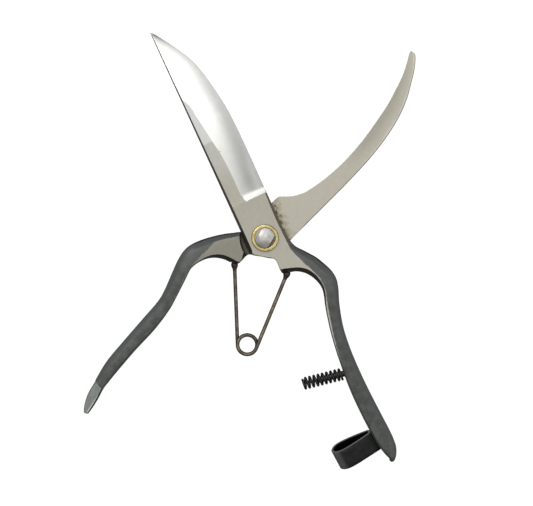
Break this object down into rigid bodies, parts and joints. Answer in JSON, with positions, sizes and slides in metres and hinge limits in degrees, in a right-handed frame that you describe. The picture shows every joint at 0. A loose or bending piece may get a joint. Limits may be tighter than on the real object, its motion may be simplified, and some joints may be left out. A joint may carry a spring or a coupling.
{
  "type": "floral snips",
  "caption": "Forged floral snips: leaf cutting blade and hooked counter blade on one pivot, hairpin opening spring, cushion spring and closing strap",
  "frame": {"origin": "on the pivot axis, at the tail end of the bolt and the face of its nut, on which the tool rests", "axes": "+Z along the pivot axis, out of the face that shows the cutting blade; +Y towards the blades' open mouth; +X towards the cutting half's handle"},
  "size_m": [0.1379, 0.1818, 0.0159],
  "materials": {
    "forged_steel": "polished blade and cheek, black forged handle",
    "bolt_steel": "hammered satin",
    "brass": "polished",
    "spring_wire": "oil-blackened brown wire",
    "black_spring": "black oxide",
    "strap_leather": "black, lightly grained"
  },
  "bodies": {
    "cutting_half": {"cutting_blade": "forged_steel", "pivot_bolt": "bolt_steel", "pivot_ring": "brass", "rear_washer": "brass", "pivot_nut": "bolt_steel", "cushion_peg": "black_spring", "cushion_spring": "black_spring", "strap_rivet": "bolt_steel"},
    "counter_half": {"counter_blade": "forged_steel"},
    "spring_right": {"hairpin_spring_right": "spring_wire", "spring_foot_right": "spring_wire"},
    "spring_left": {"hairpin_spring_left": "spring_wire", "spring_foot_left": "spring_wire"},
    "strap": {"strap_loop": "strap_leather"}
  },
  "joints": [
    {"name": "blade_pivot", "type": "hinge", "parent": "cutting_half", "child": "counter_half", "pos_m": [0, 0, 0.0083], "axis": [0, 0, 1], "range_deg": [0, 69.3], "deforming": ["cushion_spring", "strap_loop"]},
    {"name": "spring_foot_hinge", "type": "hinge", "parent": "cutting_half", "child": "spring_right", "pos_m": [0.00913, -0.01474, 0.0083], "axis": [0, 0, 1], "range_deg": [0, 46.85]},
    {"name": "spring_coil", "type": "hinge", "parent": "spring_right", "child": "spring_left", "pos_m": [-0.0074, -0.0443, 0.0083], "axis": [0, 0, 1], "range_deg": [-31.88, 0]},
    {"name": "strap_swivel", "type": "hinge", "parent": "cutting_half", "child": "strap", "pos_m": [0.04554, -0.08353, 0.0083], "axis": [-0.8829, -0.4695, 0], "range_deg": [-25, 60]}
  ],
  "couplings": [
    {"joint": "spring_foot_hinge", "follows": "blade_pivot", "ratio": 0.676},
    {"joint": "spring_coil", "follows": "blade_pivot", "ratio": -0.46}
  ]
}
